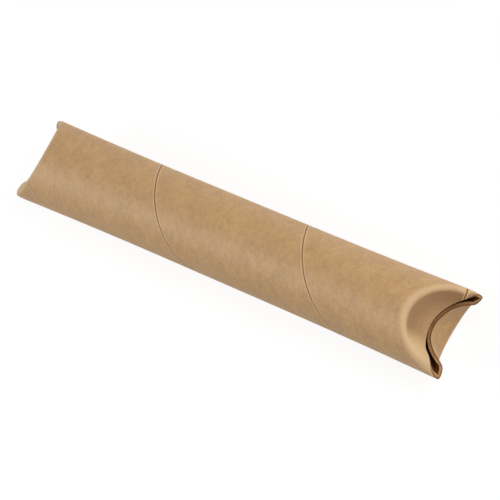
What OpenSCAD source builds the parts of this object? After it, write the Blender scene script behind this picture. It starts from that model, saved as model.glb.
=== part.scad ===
// Spirally wound board tube whose own ends are folded shut.
// Each end is closed by two flaps of the wall, turned in along curved creases that meet at two tips.
// X runs along the tube, Y along the line of the tips, Z up; the tube lies on Z = 0.

/* [Tube] */
// Inside diameter of the round middle stretch
bore_d = 50.8; // [40:0.1:62]
// Thickness of the wound board
wall_t = 1.8; // [1.2:0.1:2.4]
// Length from tip to tip
tube_l = 383; // [260:1:900]
// Length of the middle stretch that stays round
round_l = 104; // [60:1:160]
// How far each tip spreads beyond the round wall
tip_spread = 1.5; // [0:0.1:3]
// Half angle, in degrees, of the pressed spot that the tube lies on
rest_flat = 6.3; // [5.5:0.1:9]

/* [Folded ends] */
// How far short of the tube's radius the middle of a crease lies behind the tips
crease_short = 2.2; // [0:0.1:5]
// Inside rounding of the creases
crease_r = 3.4; // [2.6:0.1:5]
// How far the middle of a free edge leans out beyond its crease
flap_lean = 3; // [1:0.1:8]
// Gap between the two free edges in the middle of the slit
slit_gap = 3.4; // [1:0.1:6]
// Length of wall at each tip, beyond its thickness, that is not folded
tip_land = 0.8; // [0.6:0.1:3]
// Inside radius of the open loop that the board makes at the +Y tips
loop_left_r = 3.4; // [3.2:0.1:6.4]
// Inside radius of the open loop that the board makes at the -Y tips
loop_right_r = 5.4; // [3.2:0.1:6.4]

/* [Smoothness] */
// Facets around the tube
facets_around = 88; // [64:4:96]
// Facets along each flared stretch
facets_flare = 6; // [4:1:8]
// Facets around each crease
facets_crease = 5; // [4:1:7]

/* [Hidden] */

half_l = tube_l / 2;
out_r = bore_d / 2 + wall_t;
crease_depth = out_r - crease_short;
slit_depth = crease_depth - flap_lean;
unfolded = tip_land + wall_t;
bend = crease_r + wall_t;
// Share of the facets that crowds towards the tips, where the bends are tight
crowding = 0.33;
// Fraction of the radius within which the tips are rounded
nose = 0.22;
// Loop radii over which a loop turns round, is drawn in and closes into the slit
loop_turn = 1.3;
loop_draw = 1.1;
loop_close = 2.5;
// Most of a flap's depth that the rounding of its crease may take
crease_share = 0.7;

// Angle of a facet edge from the top, in degrees; facets centre on the top, the tips and the flat underneath
function turn_at(i) =
    let (
        a = (i + 0.5) * 360 / facets_around,
        from_below = a + crowding * sin(2 * a) * 180 / PI - 180
    )
    180 + sign(from_below) * max(abs(from_below), rest_flat);

// Spread of the oval section: none along the round middle, growing to the tips
function spread(x) = tip_spread * pow(max(0, (x - round_l / 2) / (half_l - round_l / 2)), 2);

// Point of the outer wall
function wall_point(x, turn) = [
    x,
    (out_r + spread(x)) * sin(turn),
    (out_r - spread(x)) * cos(turn)
];

// Distance from the tips at share c of the way to a flap's middle, with rounded tips
function set_back(depth, c) = depth * (sqrt(c * c + nose * nose) - nose) / (sqrt(1 + nose * nose) - nose);

function unit(v) = v / norm(v);

// Free edge of a flap: beside the tips it runs round an open loop, then it follows the slit
function edge_point(turn) =
    let (
        c = abs(cos(turn)),
        loop_r = wall_t + (loop_left_r + loop_right_r) / 2 + (loop_left_r - loop_right_r) / 2 * sin(turn),
        open = (1 - c * c) * exp(-pow(c * out_r / loop_r / loop_close, 2)),
        drawn_in = loop_draw * loop_r * (1 - exp(-pow(c * out_r / loop_r / loop_turn, 2))),
        half_gap = slit_gap / 2 * (1 - open) + (out_r - tip_spread) * c * open
    )
    [
        half_l - set_back(slit_depth, c),
        (out_r + tip_spread - drawn_in) * sin(turn),
        half_gap * sign(cos(turn))
    ];

// One generating line of the outer surface, from the round middle over the crease to the free edge
function half_profile(turn) =
    let (
        c = abs(cos(turn)),
        corner_x = half_l - unfolded - set_back(crease_depth - unfolded, c),
        corner = wall_point(corner_x, turn),
        edge = edge_point(turn),
        reach = min(bend, crease_share * norm(edge - corner)),
        start = wall_point(corner_x - reach, turn),
        along = unit(corner - start),
        inward = unit(edge - corner),
        angle = acos(min(1, along * inward)),
        aside = unit(inward - (along * inward) * along),
        r = reach / tan(angle / 2),
        finish = corner + reach * inward
    )
    concat(
        [for (k = [0 : facets_flare - 1])
            wall_point(round_l / 2 + (start.x - round_l / 2) * k / facets_flare, turn)],
        [for (k = [0 : facets_crease])
            let (a = angle * k / facets_crease)
            start + r * (sin(a) * along + (1 - cos(a)) * aside)],
        [(finish + edge) / 2, edge]
    );

function mirrored(points) = [for (k = [len(points) - 1 : -1 : 0]) [-points[k].x, points[k].y, points[k].z]];

module tube() {
    outer = [for (i = [0 : facets_around - 1])
        let (half = half_profile(turn_at(i)))
        concat(mirrored(half), half)];
    rows = len(outer[0]);
    inner = [for (i = [0 : facets_around - 1])
        [for (j = [rows - 1 : -1 : 0])
            let (
                next = outer[(i + 1) % facets_around],
                last = outer[(i + facets_around - 1) % facets_around],
                around = next[j] - last[j],
                along = outer[i][min(j + 1, rows - 1)] - outer[i][max(j - 1, 0)]
            )
            outer[i][j] - wall_t * unit(cross(along, around))]];
    loops = [for (i = [0 : facets_around - 1]) concat(outer[i], inner[i])];
    n = 2 * rows;
    faces = [for (i = [0 : facets_around - 1]) for (j = [0 : n - 1])
        let (
            a = i * n + j,
            b = ((i + 1) % facets_around) * n + j,
            c = ((i + 1) % facets_around) * n + (j + 1) % n,
            d = i * n + (j + 1) % n
        )
        each [[a, b, c], [a, c, d]]];
    color([0.76, 0.61, 0.44])
        translate([0, 0, out_r * cos(rest_flat)])
            polyhedron([for (loop = loops) each loop], faces);
}

tube();
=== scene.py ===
import math
import bpy
from mathutils import Matrix, Vector


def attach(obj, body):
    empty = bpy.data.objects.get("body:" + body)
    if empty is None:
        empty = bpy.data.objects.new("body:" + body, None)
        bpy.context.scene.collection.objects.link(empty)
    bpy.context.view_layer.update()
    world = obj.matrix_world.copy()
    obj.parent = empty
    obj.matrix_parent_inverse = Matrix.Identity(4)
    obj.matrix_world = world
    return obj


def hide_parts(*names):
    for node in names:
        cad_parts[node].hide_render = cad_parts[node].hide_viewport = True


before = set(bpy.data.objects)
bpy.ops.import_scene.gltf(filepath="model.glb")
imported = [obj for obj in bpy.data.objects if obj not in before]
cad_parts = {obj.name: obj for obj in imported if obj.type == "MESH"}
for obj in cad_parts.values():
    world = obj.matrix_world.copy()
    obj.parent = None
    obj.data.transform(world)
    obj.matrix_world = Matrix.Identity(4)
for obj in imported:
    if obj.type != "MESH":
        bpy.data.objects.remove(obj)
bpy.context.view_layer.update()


# plain arithmetic on node sockets, so that a rule reads as a formula
class Field:
    def __init__(self, tree, socket):
        self.tree = tree
        self.socket = socket
        self.isVector = socket.type == "VECTOR"

    def __add__(self, other):
        return vector("ADD", self, other) if self.isVector else number("ADD", self, other)

    def __radd__(self, other):
        return number("ADD", other, self)

    def __sub__(self, other):
        return vector("SUBTRACT", self, other) if self.isVector else number("SUBTRACT", self, other)

    def __rsub__(self, other):
        return number("SUBTRACT", other, self)

    def __mul__(self, other):
        return vector("SCALE", self, other) if self.isVector else number("MULTIPLY", self, other)

    def __truediv__(self, other):
        return number("DIVIDE", self, other)

    def __rtruediv__(self, other):
        return number("DIVIDE", other, self)


def treeOf(values):
    return next(v.tree for v in values if isinstance(v, Field))


def feed(tree, socket, value):
    if isinstance(value, Field):
        tree.links.new(value.socket, socket)
    else:
        socket.default_value = value


def number(operation, *values):
    tree = treeOf(values)
    node = tree.nodes.new("ShaderNodeMath")
    node.operation = operation
    for socket, value in zip(node.inputs, values):
        feed(tree, socket, value)
    return Field(tree, node.outputs[0])


def vector(operation, *values):
    tree = treeOf(values)
    node = tree.nodes.new("ShaderNodeVectorMath")
    node.operation = operation
    sockets = [node.inputs[0], node.inputs["Scale"]] if operation == "SCALE" else node.inputs
    for socket, value in zip(sockets, values):
        feed(tree, socket, value)
    measured = operation in ("LENGTH", "DOT_PRODUCT")
    return Field(tree, node.outputs["Value" if measured else "Vector"])


def place(tree, kind, inputs=None, **settings):
    node = tree.nodes.new(kind)
    for name, value in settings.items():
        setattr(node, name, value)
    for name, value in (inputs or {}).items():
        feed(tree, node.inputs[name], value)
    return node


def joined(x, y, z):
    tree = treeOf((x, y, z))
    return Field(tree, place(tree, "ShaderNodeCombineXYZ", {"X": x, "Y": y, "Z": z}).outputs[0])


def separated(point):
    parts = place(point.tree, "ShaderNodeSeparateXYZ", {"Vector": point})
    return [Field(point.tree, socket) for socket in parts.outputs]


def clamped(value, low, high):
    return number("MINIMUM", number("MAXIMUM", value, low), high)


def squared(value):
    return value * value


def rise(value, low, high):  # 0 below low, 1 above high, smooth between
    node = place(value.tree, "ShaderNodeMapRange", {"Value": value, "From Min": low, "From Max": high},
                 interpolation_type="SMOOTHSTEP")
    return Field(value.tree, node.outputs["Result"])


def newGroup(name, kind, inputs, outputs):
    tree = bpy.data.node_groups.new(name, kind)
    for way, sockets in (("INPUT", inputs), ("OUTPUT", outputs)):
        for label, holds in sockets.items():
            tree.interface.new_socket(label, in_out=way, socket_type="NodeSocket" + holds)
    entry = tree.nodes.new("NodeGroupInput")
    fields = {s.name: Field(tree, s) for s in entry.outputs if s.name}
    return tree, fields, tree.nodes.new("NodeGroupOutput")


# sizes of the tube, in metres and radians
tube = {
    "Outer Radius": 0.0272,
    "Wall": 0.0018,
    "Half Length": 0.1915,
    "Round Half": 0.052,        # stretch that stays round
    "Tip Spread": 0.0015,
    "Tip Tuck": 0.0007,         # the left tips bend in again at their very ends
    "Crease Depth": 0.025,      # middle of a crease behind the tips
    "Slit Depth": 0.022,        # middle of the slit behind the tips
    "Unfolded": 0.0026,         # wall at a tip that is not folded
    "Crease Bend": 0.0047,
    "Slit Gap": 0.0034,
    "Left Loop": 0.0052,
    "Right Loop": 0.0072,
    "Rest Flat": math.radians(6.3),
    "Board Half": 0.190,        # half the length of the board before folding
    "Seam Pitch": 0.1339,
    "Seam Phase": 2.6195,
    "Seam Stray": 0.1,          # it bends a little at the near end
    "Seam Gap": 0.00036,        # half the gap between the outer ply's edges
    "Seam Depth": 0.00025,
    "Edge Round": 0.00012,
    "Edge Swell": 0.3,          # the plies part a little where they are cut
}
# grid of the board: columns go round the tube, rows along it
tubeMesh = {
    "columns": 248,
    "fine": 5,                  # columns close to the seam, on each side
    "fineStep": 0.75,           # their spacing, in half gaps of the seam
    "body": 44,                 # rows from the middle to the end stretch
    "end": 52,                  # rows of an end stretch
    "rim": 8,                   # rows over a cut edge
    "plies": 6,
    "plyRipple": 0.00004,
    "onRim": (0.02, 0.1),       # depth times the depth left, from the faces into the cut edge
    "onOuter": (0.01, 0.4),     # depth at which the seam fades
    "probeBoard": 0.00004,      # steps to the points that give the outward direction
    "probeTurn": 0.002,
    "merge": 0.00001,
    "crisp": math.radians(38),  # edges bent more than this are shaded sharp
    "layers": {"kraftFace": -1, "cutEdge": 0.02, "innerPly": 0.98},  # depth from which each finish shows
}
# the loops at the tips turn round, are drawn in and close into the slit, in loop radii
foldShape = {
    "turn": 1.3,
    "blunt": 3,                 # power of the turn; more is squarer
    "draw": 1.1,
    "closeLeft": 1.95,
    "closeRight": 3.7,
    "nose": 0.22,               # rounding of the tips, in tube radii
    "noseMore": 0.16,           # added at the right tips
    "share": 0.7,               # most of a flap that its crease may take
    "straight": 0.9999999,      # cosine of the least bend
    "tuckFrom": 0.008,
    "endFrom": 0.15,            # end stretch, fitted to the length of each line
    "swellFrom": 0.003,
    "swellTips": (0.96, 0.99),  # sine of the turn; the left tips are too tight to swell
}
# section of the seam, in half gaps from its middle
seamShape = {
    "groove": (0.3, 1),
    "lipRise": (0.8, 1.3),
    "lipFade": (1.6, 4),
    "lipHeight": 0.2,           # share of the groove's depth
    "strayFrom": 0.181,         # along the board, in metres
}
# fold marks: a painted highlight on the crease ridges with some rubbing, paler right tips that are part
# scuff and part painted light, and painted shade below the creases
foldWearAndPaintedLight = {
    "bent": (0.15, 0.8),        # angle of the crease
    # painted highlight along the middle of each crease
    "ridgeHighlight": 3,
    "rightTips": (0.3, 0.75),   # sine of the turn
    # paler right tips: part scuff, part painted light
    "scuffedAndLit": (0.2, 0.8),      # share of the crease
    "scuffAndLight": 0.9,
    # painted shade below the creases, darker on the upper flaps
    "creaseShade": (0.7, 1),         # share of the crease
    "fade": (0.004, 0.018),     # distance down the flap
    "faded": 0.7,
    "upper": (-0.2, 0.2),       # cosine of the turn
    "lower": 0.2,               # painted shade left on the lower flaps
}


def makeFoldGroup():
    # a point of the board: turn goes round the tube, board along it and over the crease
    tree, f, out = newGroup("foldedBoard", "GeometryNodeTree",
                            dict.fromkeys(("Turn", "Board", *tube), "Float"),
                            {"Position": "Vector", "WearAndHighlight": "Float", "PaintedShade": "Float"})
    radius, half, bend = f["Outer Radius"], f["Half Length"], f["Crease Bend"]
    side = number("SIGN", f["Board"])
    board = number("ABSOLUTE", f["Board"])
    sine = number("SINE", f["Turn"])
    cosine = number("COSINE", f["Turn"])
    c = number("ABSOLUTE", cosine)
    nose = number("MAXIMUM", sine * -1, 0) * foldShape["noseMore"] + foldShape["nose"]
    noseSquare = squared(nose)
    back = (number("SQRT", c * c + noseSquare) - nose) / (number("SQRT", noseSquare + 1) - nose)

    def spreadAt(x):
        flare = number("MAXIMUM", (x - f["Round Half"]) / (half - f["Round Half"]), 0)
        tuck = number("MAXIMUM", 1 - (half - x) / foldShape["tuckFrom"], 0) * number("MAXIMUM", sine, 0)
        return f["Tip Spread"] * squared(flare) - f["Tip Tuck"] * squared(tuck)

    def wallPoint(x):
        spread = spreadAt(x)
        return joined(x, (radius + spread) * sine, (radius - spread) * cosine)

    # free edge: an open loop beside each tip, then the slit
    loop = (f["Left Loop"] + f["Right Loop"]) / 2 + (f["Left Loop"] - f["Right Loop"]) / 2 * sine
    across = c * radius / loop
    closing = [foldShape["closeLeft"], foldShape["closeRight"]]
    close = sine * ((closing[0] - closing[1]) / 2) + sum(closing) / 2
    opened = (1 - c * c) * number("EXPONENT", squared(across / close) * -1)
    turned = number("POWER", across / foldShape["turn"], foldShape["blunt"])
    drawn = loop * foldShape["draw"] * (1 - number("EXPONENT", turned * -1))
    halfGap = f["Slit Gap"] / 2 * (1 - opened) + (radius - f["Tip Spread"]) * c * opened
    edgeX = half - f["Slit Depth"] * back
    edge = joined(edgeX, (radius + spreadAt(edgeX) - drawn) * sine, halfGap * number("SIGN", cosine))

    # the crease is an arc between the wall and the flap
    cornerX = half - f["Unfolded"] - (f["Crease Depth"] - f["Unfolded"]) * back
    corner = wallPoint(cornerX)
    flap = edge - corner
    flapLength = vector("LENGTH", flap)
    reach = number("MINIMUM", bend, flapLength * foldShape["share"])
    startX = cornerX - reach
    along = vector("NORMALIZE", corner - wallPoint(startX))
    inward = vector("NORMALIZE", flap)
    aligned = vector("DOT_PRODUCT", along, inward)
    angle = number("ARCCOSINE", clamped(aligned, -1, foldShape["straight"]))
    aside = vector("NORMALIZE", inward - along * aligned)
    arcRadius = reach / number("TANGENT", angle / 2)
    arcLength = arcRadius * angle

    # the board ends at the free edge, so its end stretch is fitted to the line's own length
    endFrom = foldShape["endFrom"]
    spare = startX + arcLength + flapLength - reach - f["Board Half"]
    run = board + spare * number("MAXIMUM", (board - endFrom) / (f["Board Half"] - endFrom), 0)
    a = clamped((run - startX) / arcRadius, 0, angle)
    onFlap = number("MAXIMUM", run - startX - arcLength, 0)
    point = wallPoint(number("MINIMUM", run, startX)) + inward * onFlap
    point = point + (along * number("SINE", a) + aside * (1 - number("COSINE", a))) * arcRadius
    x, y, z = separated(point)
    floor = radius * number("COSINE", f["Rest Flat"])
    lifted = number("MAXIMUM", z + floor, 0)  # pressed flat where it lies
    feed(tree, out.inputs["Position"], joined(x * side, y, lifted))

    # painted highlight on the crease ridges with some rubbing, paler right tips that are part scuff and
    # part painted light, and painted shade below the creases
    w = foldWearAndPaintedLight
    share = a / angle
    bent = rise(angle, *w["bent"])
    rightTip = rise(sine * -1, *w["rightTips"])
    # paler right tips, part scuff and part painted light
    scuffAndLight = rightTip * rise(share, *w["scuffedAndLit"]) * w["scuffAndLight"]
    feed(tree, out.inputs["WearAndHighlight"], number("MAXIMUM", share * (1 - share) * w["ridgeHighlight"] * bent, scuffAndLight))
    # painted shade below the creases, stronger on the upper flaps and none at the right tips
    creaseShade = rise(share, *w["creaseShade"]) * (1 - rise(onFlap, *w["fade"]) * w["faded"])
    above = rise(cosine, *w["upper"]) * (1 - w["lower"]) + w["lower"]
    feed(tree, out.inputs["PaintedShade"], creaseShade * bent * above * (1 - rightTip))
    return tree


def passOn(tree, flow, node):
    tree.links.new(flow, node.inputs[0])
    return node.outputs[0]


def stored(tree, name, value, kind, domain):
    return place(tree, "GeometryNodeStoreNamedAttribute", {"Name": name, "Value": value},
                 data_type=kind, domain=domain)


def makeTubeTree(materials):
    tree, f, out = newGroup("spiralTube", "GeometryNodeTree", dict.fromkeys(tube, "Float"),
                            {"Geometry": "Geometry"})
    foldGroup = makeFoldGroup()
    m = tubeMesh
    radius, gap = f["Outer Radius"], f["Seam Gap"]
    outer = 2 * (m["body"] + m["end"])
    rows = 2 * outer + 2 * m["rim"]
    grid = place(tree, "GeometryNodeMeshGrid", {"Size X": m["columns"], "Size Y": rows,
                                               "Vertices X": m["columns"] + 1, "Vertices Y": rows + 1})
    spot = separated(Field(tree, tree.nodes.new("GeometryNodeInputPosition").outputs[0]))
    column = spot[0] + m["columns"] / 2
    row = spot[1] + rows / 2

    # rows: out along the outer face, over the cut edge, back along the inner face, over the other edge
    step = number("MINIMUM", row - outer / 2, outer / 2) - clamped(row - outer - m["rim"], 0, outer)
    overRim = clamped((row - outer) / m["rim"], 0, 1)
    depth = overRim - clamped((row - 2 * outer - m["rim"]) / m["rim"], 0, 1)
    endFrom = foldShape["endFrom"]
    away = number("ABSOLUTE", step)
    onRim = rise(depth * (1 - depth), *m["onRim"])
    reach = number("MINIMUM", away, m["body"]) * (endFrom / m["body"])
    reach = reach + number("MAXIMUM", away - m["body"], 0) * (f["Board Half"] - endFrom) / m["end"]
    rounding = f["Edge Round"] * (1 - onRim) * rise(away, outer / 2 - 1, outer / 2)
    plyStep = number("COSINE", depth * (math.tau * m["plies"])) * onRim * m["plyRipple"]
    board = number("SIGN", step) * (reach - rounding + plyStep)

    # columns: they wind with the seam, and stand close together beside it
    half = m["columns"] / 2
    near = half - number("ABSOLUTE", column - half)
    fineStep = gap * m["fineStep"] / radius
    coarse = (math.pi - fineStep * m["fine"]) / (half - m["fine"])
    fromSeam = fineStep * number("MINIMUM", near, m["fine"])
    fromSeam = fromSeam + coarse * number("MAXIMUM", near - m["fine"], 0)
    second = number("GREATER_THAN", column, half)
    wound = fromSeam + second * (math.tau - fromSeam * 2)
    stray = f["Seam Stray"] * rise(board, seamShape["strayFrom"], f["Board Half"])
    twist = board * math.tau / f["Seam Pitch"] - stray
    turn = wound - twist - f["Seam Phase"]

    # the grain lies along the wound strip; slope and steep are the sine and cosine of the seam's angle
    lean = f["Seam Pitch"] / math.tau / radius
    slope = lean / number("SQRT", lean * lean + 1)
    steep = 1 / number("SQRT", lean * lean + 1)
    seam = fromSeam * radius * slope
    grain = joined(number("COSINE", wound) * radius, number("SINE", wound) * radius,
                   board * slope - (wound * radius - twist * radius) * steep)

    def folded(turn, board):
        call = place(tree, "GeometryNodeGroup", {"Turn": turn, "Board": board, **f}, node_tree=foldGroup)
        return [Field(tree, call.outputs[name]) for name in ("Position", "WearAndHighlight", "PaintedShade")]

    def besideSeam(low, high):
        return rise(seam, gap * low, gap * high)

    # outward direction, from points close by
    point, wearAndHighlight, paintedShade = folded(turn, board)
    alongBoard = folded(turn, board + m["probeBoard"])[0] - folded(turn, board - m["probeBoard"])[0]
    around = folded(turn + m["probeTurn"], board)[0] - folded(turn - m["probeTurn"], board)[0]
    outward = vector("NORMALIZE", vector("CROSS_PRODUCT", alongBoard, around))

    # the seam's groove and lips on the outer face, and the board's thickness
    groove = f["Seam Depth"] * (1 - besideSeam(*seamShape["groove"]))
    lip = f["Seam Depth"] * seamShape["lipHeight"] * besideSeam(*seamShape["lipRise"])
    lip = lip * (1 - besideSeam(*seamShape["lipFade"]))
    onOuter = 1 - rise(depth, *m["onOuter"])
    swellFrom = f["Board Half"] - foldShape["swellFrom"]
    swell = f["Edge Swell"] * rise(number("ABSOLUTE", board), swellFrom, f["Board Half"])
    swell = swell * (1 - rise(number("SINE", turn), *foldShape["swellTips"]))
    point = point - outward * (f["Wall"] * depth * (1 + swell) + (groove - lip) * onOuter)

    flow = grid.outputs["Mesh"]
    for name, value in {"depth": depth, "seam": seam, "wearAndHighlight": wearAndHighlight, "paintedShade": paintedShade}.items():
        flow = passOn(tree, flow, stored(tree, name, value, "FLOAT", "POINT"))
    flow = passOn(tree, flow, stored(tree, "grain", grain, "FLOAT_VECTOR", "CORNER"))
    flow = passOn(tree, flow, place(tree, "GeometryNodeSetPosition", {"Position": point}))
    flow = passOn(tree, flow, place(tree, "GeometryNodeMergeByDistance", {"Distance": m["merge"]}))
    flow = passOn(tree, flow, place(tree, "GeometryNodeFlipFaces"))
    bentEdge = Field(tree, tree.nodes.new("GeometryNodeInputMeshEdgeAngle").outputs[0])
    crisp = number("GREATER_THAN", bentEdge, m["crisp"])
    flow = passOn(tree, flow, stored(tree, "sharp_edge", crisp, "BOOLEAN", "EDGE"))
    flow = passOn(tree, flow, place(tree, "GeometryNodeRealizeInstances"))

    # outer face, cut edge and inner face
    layer = place(tree, "GeometryNodeInputNamedAttribute", {"Name": "depth"}, data_type="FLOAT")
    layer = Field(tree, layer.outputs["Attribute"])
    for name, start in m["layers"].items():
        deeper = number("GREATER_THAN", layer, start)
        finish = place(tree, "GeometryNodeSetMaterial", {"Selection": deeper, "Material": materials[name]})
        flow = passOn(tree, flow, finish)
    tree.links.new(flow, out.inputs["Geometry"])
    return tree


# colours as the eye reads them, 0 to 255
kraft = {
    "light": (211, 168, 115),
    "dark": (178, 140, 95),
    # paler colour for the crease ridges and right tips: painted highlight and painted light, partly rubbed
    # board
    "rubbedAndLit": (220, 184, 138),
    # colour of the painted shade below the creases
    "creaseShade": (146, 108, 68),
    "seam": (132, 93, 54),
    # colour of the painted highlight along the seam's lips
    "lip": (218, 181, 135),
    "edgePale": (198, 154, 104),
    "edgeMid": (158, 110, 64),
    "edgeDark": (98, 62, 32),
    "inside": (166, 116, 68),
    "insideDark": (134, 90, 48),
}
# noise round the tube and along the grain, in cycles per metre, and its share of the tone
fibre = {
    "layers": {
        "cloud": {"scale": (170, 170, 230), "detail": 3, "roughness": 0.5, "share": 0.7},
        "patch": {"scale": (56, 56, 80), "detail": 2, "roughness": 0.5, "share": 0.55},
        "mottle": {"scale": (420, 420, 580), "detail": 2, "roughness": 0.5, "share": 0.8},
        "strand": {"scale": (1600, 1600, 320), "detail": 3, "roughness": 0.6, "share": 0.4},
    },
    "middle": 0.5,              # mean of the noise
    "speck": {"scale": (1300, 1300, 420), "detail": 1, "roughness": 0.5},
    "speckShift": (0.3, 0.1, 0.7),
    "speckRise": (0.66, 0.8),
    "height": {"strand": 0.6, "cloud": 0.4},
    "bump": {"Strength": 0.35, "Distance": 0.0001},
    "dulling": 0.05,            # roughness that pale fibres add
}
finishes = {
    "kraftFace": {
        "contrast": 1.35,
        "roughness": 0.5,
        "specular": 0.5,
        "specks": 0.35,
        # amount of painted shade below the creases
        "creaseShading": 0.7,
        # painted highlight along the seam's lips, and where it rises and fades
        "lips": 0.7,
        "lipRise": (0.0003, 0.0006),    # metres from the seam
        "lipFade": (0.0008, 0.0018),
        "gap": (0.00022, 0.00046),
        "gapDulling": 0.4,
    },
    "cutEdge": {
        "contrast": 1.4,
        "roughness": 0.85,
        "specular": 0.2,
        "pale": (0.3, 0.6),             # depth through the board
        "skin": (0.06, 0.2),
        "lines": 0.45,
        "blotches": 0.8,
    },
    "innerPly": {"contrast": 1.2, "roughness": 0.85, "specular": 0.2},
}


def paint(name):  # linear light, as the shader takes it
    linear = [((v / 255 + 0.055) / 1.055) ** 2.4 for v in kraft[name]]
    return (*linear, 1)


def blendColour(tree, factor, first, second):
    node = place(tree, "ShaderNodeMix", data_type="RGBA")
    feed(tree, node.inputs["Factor"], factor)
    for socket, value in ((node.inputs[6], first), (node.inputs[7], second)):
        feed(tree, socket, paint(value) if isinstance(value, str) else value)
    return Field(tree, node.outputs[2])


def noise(tree, spot, look):
    node = place(tree, "ShaderNodeTexNoise", {"Vector": vector("MULTIPLY", spot, look["scale"]), "Scale": 1,
                                             "Detail": look["detail"], "Roughness": look["roughness"]})
    return Field(tree, node.outputs[0])


def makeFibreGroup():
    # paper fibres that lie along the wound strip, with cloudy patches and short dark specks
    tree, f, out = newGroup("kraftFibre", "ShaderNodeTree", {"Grain": "Vector", "Contrast": "Float"},
                            dict.fromkeys(("Tone", "Speck", "Height"), "Float"))
    looks = fibre["layers"]
    layers = {name: noise(tree, f["Grain"], look) for name, look in looks.items()}
    tone = sum((layers[name] - fibre["middle"]) * look["share"] for name, look in looks.items())
    speck = noise(tree, f["Grain"] + fibre["speckShift"], fibre["speck"])
    height = sum(layers[name] * share for name, share in fibre["height"].items())
    feed(tree, out.inputs["Tone"], clamped(fibre["middle"] + tone * f["Contrast"], 0, 1))
    feed(tree, out.inputs["Speck"], rise(speck, *fibre["speckRise"]))
    feed(tree, out.inputs["Height"], height)
    return tree


def newMaterial(name):
    material = bpy.data.materials.new(name)
    material.use_nodes = True
    shader = material.node_tree.nodes["Principled BSDF"]
    return material, material.node_tree, shader


def attribute(tree, name, output="Fac"):
    return Field(tree, place(tree, "ShaderNodeAttribute", attribute_name=name).outputs[output])


def boardFinish(name, fibres):
    look = finishes[name]
    material, tree, shader = newMaterial(name)
    grain = attribute(tree, "grain", "Vector")
    group = place(tree, "ShaderNodeGroup", {"Grain": grain, "Contrast": look["contrast"]}, node_tree=fibres)
    fields = {s.name: Field(tree, s) for s in group.outputs}
    bump = place(tree, "ShaderNodeBump", {"Height": fields["Height"], **fibre["bump"]})
    tree.links.new(bump.outputs[0], shader.inputs["Normal"])
    fields["Dullness"] = look["roughness"] + (fields["Tone"] - fibre["middle"]) * fibre["dulling"]
    feed(tree, shader.inputs["Roughness"], fields["Dullness"])
    shader.inputs["Specular IOR Level"].default_value = look["specular"]
    return material, tree, shader, fields, look


def makeMaterials():
    fibres = makeFibreGroup()
    # outer ply: kraft tones, painted shade below the creases, a painted highlight on the crease ridges with
    # some rubbing, paler right tips that are part scuff and part painted light, a dark seam with a painted
    # highlight on its lips
    face, tree, shader, f, look = boardFinish("kraftFace", fibres)
    colour = blendColour(tree, f["Tone"], "dark", "light")
    colour = blendColour(tree, f["Speck"] * look["specks"], colour, "dark")
    # painted shade below the creases
    colour = blendColour(tree, attribute(tree, "paintedShade") * look["creaseShading"], colour, "creaseShade")
    # painted highlight on the crease ridges and painted light on the right tips, partly rubbed board
    colour = blendColour(tree, attribute(tree, "wearAndHighlight"), colour, "rubbedAndLit")
    seam = attribute(tree, "seam")
    # painted highlight along the seam's lips
    lip = rise(seam, *look["lipRise"]) * (1 - rise(seam, *look["lipFade"]))
    colour = blendColour(tree, lip * look["lips"], colour, "lip")
    gap = 1 - rise(seam, *look["gap"])
    colour = blendColour(tree, gap, colour, "seam")
    feed(tree, shader.inputs["Roughness"], f["Dullness"] + gap * look["gapDulling"])
    feed(tree, shader.inputs["Base Color"], colour)

    # cut edge: the plies show as lines through the thickness
    edge, tree, shader, f, look = boardFinish("cutEdge", fibres)
    depth = attribute(tree, "depth")
    line = number("SINE", depth * (math.tau * tubeMesh["plies"])) * 0.5 + 0.5
    dark = line * look["lines"] + (f["Tone"] - fibre["middle"]) * look["blotches"]
    colour = blendColour(tree, rise(depth, *look["pale"]), "edgeMid", "edgePale")
    colour = blendColour(tree, clamped(dark, 0, 1), colour, "edgeDark")
    colour = blendColour(tree, 1 - rise(depth, *look["skin"]), colour, "edgeDark")
    feed(tree, shader.inputs["Base Color"], colour)

    # inner ply: duller board
    inside, tree, shader, f, look = boardFinish("innerPly", fibres)
    feed(tree, shader.inputs["Base Color"], blendColour(tree, f["Tone"], "insideDark", "inside"))
    print("materials", len(finishes))
    return {material.name: material for material in (face, edge, inside)}


def makeTube():
    tree = makeTubeTree(makeMaterials())
    shell = bpy.data.objects.new("tubeShell", bpy.data.meshes.new("tubeShell"))
    bpy.context.scene.collection.objects.link(shell)
    modifier = shell.modifiers.new("spiralTube", "NODES")
    modifier.node_group = tree
    for item in tree.interface.items_tree:
        if item.in_out == "INPUT":
            modifier[item.identifier] = tube[item.name]
    shell.update_tag()
    view = bpy.context.evaluated_depsgraph_get()
    mesh = bpy.data.meshes.new_from_object(shell.evaluated_get(view))
    shell.modifiers.clear()
    shell.data = mesh
    mesh.materials.pop(index=0)  # the grid's own empty slot
    print("tube", len(mesh.vertices), "points", len(mesh.polygons), "faces",
          [m.name for m in mesh.materials])
    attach(shell, "root")
    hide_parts("tube")


# the photograph's view, in radii of the tube from its middle
photoView = {
    "right": (0.6874, 0.4840, -0.5415),
    "back": (0.6651, -0.1198, 0.7371),
    "away": 91.825,
    "aside": 0.2601,
    "above": -0.1617,
    "lens": 286.7,              # in millimetres, as is the sensor
    "sensor": 36,
    "clipEnd": 50,              # in metres
}


def viewAxes():
    back = Vector(photoView["back"]).normalized()
    right = Vector(photoView["right"])
    right = (right - back * right.dot(back)).normalized()
    return right, back.cross(right), back


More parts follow.
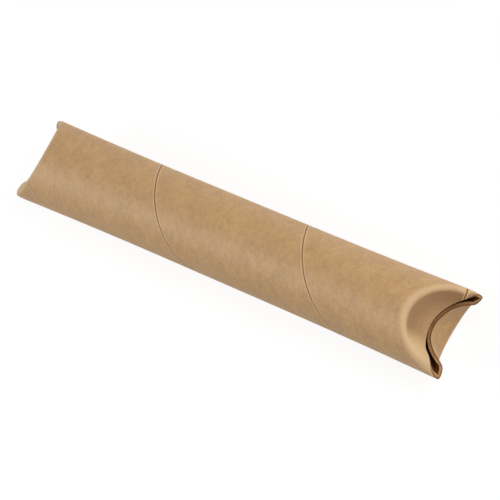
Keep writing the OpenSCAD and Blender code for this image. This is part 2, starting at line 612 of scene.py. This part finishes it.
def makeCamera():
    right, up, back = viewAxes()
    middle = Vector((0, 0, tube["Outer Radius"] * math.cos(tube["Rest Flat"])))
    offset = back * photoView["away"] + right * photoView["aside"] + up * photoView["above"]
    lens = bpy.data.cameras.new("photoCamera")
    lens.lens = photoView["lens"]
    lens.sensor_width = photoView["sensor"]
    lens.clip_end = photoView["clipEnd"]
    camera = bpy.data.objects.new("photoCamera", lens)
    bpy.context.scene.collection.objects.link(camera)
    turned = Matrix((right, up, back)).transposed().to_4x4()
    camera.matrix_world = Matrix.Translation(middle + offset * tube["Outer Radius"]) @ turned
    bpy.context.scene.camera = camera
    print("camera", [round(v, 3) for v in camera.location])


# pale floor and soft round lamps; a lamp stands this far right, up and towards the viewer, in metres
studio = {
    "white": (1, 1, 1, 1),
    "surround": 0.15,           # light from all round; the camera sees it as white
    "floorSize": 30,
    "floorColour": (0.92, 0.92, 0.92, 1),
    "floorRoughness": 0.9,
    "floorGlow": 1.1,           # white to the camera beside the shaded share
    "floorShade": 0.2,          # share of the floor's look that takes the shadow
    "floorMirrored": 0.2,       # share of the glow that the board's sheen picks up
    "lampRadius": 0.4,
    "lamps": {
        "below": {"at": (-1.08, -0.59, 0.86), "power": 4.0},
        "underFar": {"at": (-1.5, 0.03, 0.05), "power": 25.2},
        "facingFar": {"at": (-1.45, 0.36, 0.15), "power": 8.0},
        "front": {"at": (-0.86, 0.51, 1.12), "power": 3.2},
        "overNear": {"at": (0.32, 0.35, 1.42), "power": 40.0},
        "rim": {"at": (0.68, 1.33, -0.12), "power": 36.0},
        "rimNear": {"at": (1.21, 0.63, 0.62), "power": 16.8},
    },
}


def seenRay(tree, mirrored):
    # 1 to the camera, and a share of that in reflections and through glass
    rays = tree.nodes.new("ShaderNodeLightPath")
    camera, glossy, clear = (Field(tree, rays.outputs[f"Is {kind} Ray"])
                             for kind in ("Camera", "Glossy", "Transmission"))
    return number("MAXIMUM", camera, number("MAXIMUM", glossy, clear) * mirrored)


def makeWorld():
    world = bpy.data.worlds.new("studio")
    world.use_nodes = True
    bpy.context.scene.world = world
    tree = world.node_tree
    sky = tree.nodes["Background"]
    sky.inputs["Color"].default_value = studio["white"]
    feed(tree, sky.inputs["Strength"], seenRay(tree, 1) * (1 - studio["surround"]) + studio["surround"])


def makeFloor():
    bpy.ops.mesh.primitive_plane_add(size=studio["floorSize"])
    floor = bpy.context.object
    floor.name = "floor"
    material, tree, shader = newMaterial("paleFloor")
    shader.inputs["Base Color"].default_value = studio["floorColour"]
    shader.inputs["Roughness"].default_value = studio["floorRoughness"]
    shader.inputs["Specular IOR Level"].default_value = 0
    glow = place(tree, "ShaderNodeEmission", {"Color": studio["white"], "Strength": studio["floorGlow"]})
    mixed = tree.nodes.new("ShaderNodeMixShader")
    feed(tree, mixed.inputs[0], seenRay(tree, studio["floorMirrored"]) * (1 - studio["floorShade"]))
    tree.links.new(shader.outputs[0], mixed.inputs[1])
    tree.links.new(glow.outputs[0], mixed.inputs[2])
    tree.links.new(mixed.outputs[0], tree.nodes["Material Output"].inputs["Surface"])
    floor.data.materials.append(material)


def makeLamps():
    right, up, back = viewAxes()
    for name, lamp in studio["lamps"].items():
        light = bpy.data.lights.new(name, "POINT")
        light.shadow_soft_size = studio["lampRadius"]
        light.energy = lamp["power"]
        globe = bpy.data.objects.new(name, light)
        bpy.context.scene.collection.objects.link(globe)
        globe.location = right * lamp["at"][0] + up * lamp["at"][1] + back * lamp["at"][2]
    print("studio", len(studio["lamps"]), "lamps")


bpy.context.scene.view_settings.view_transform = "Standard"
makeTube()
makeCamera()
makeWorld()
makeFloor()
makeLamps()
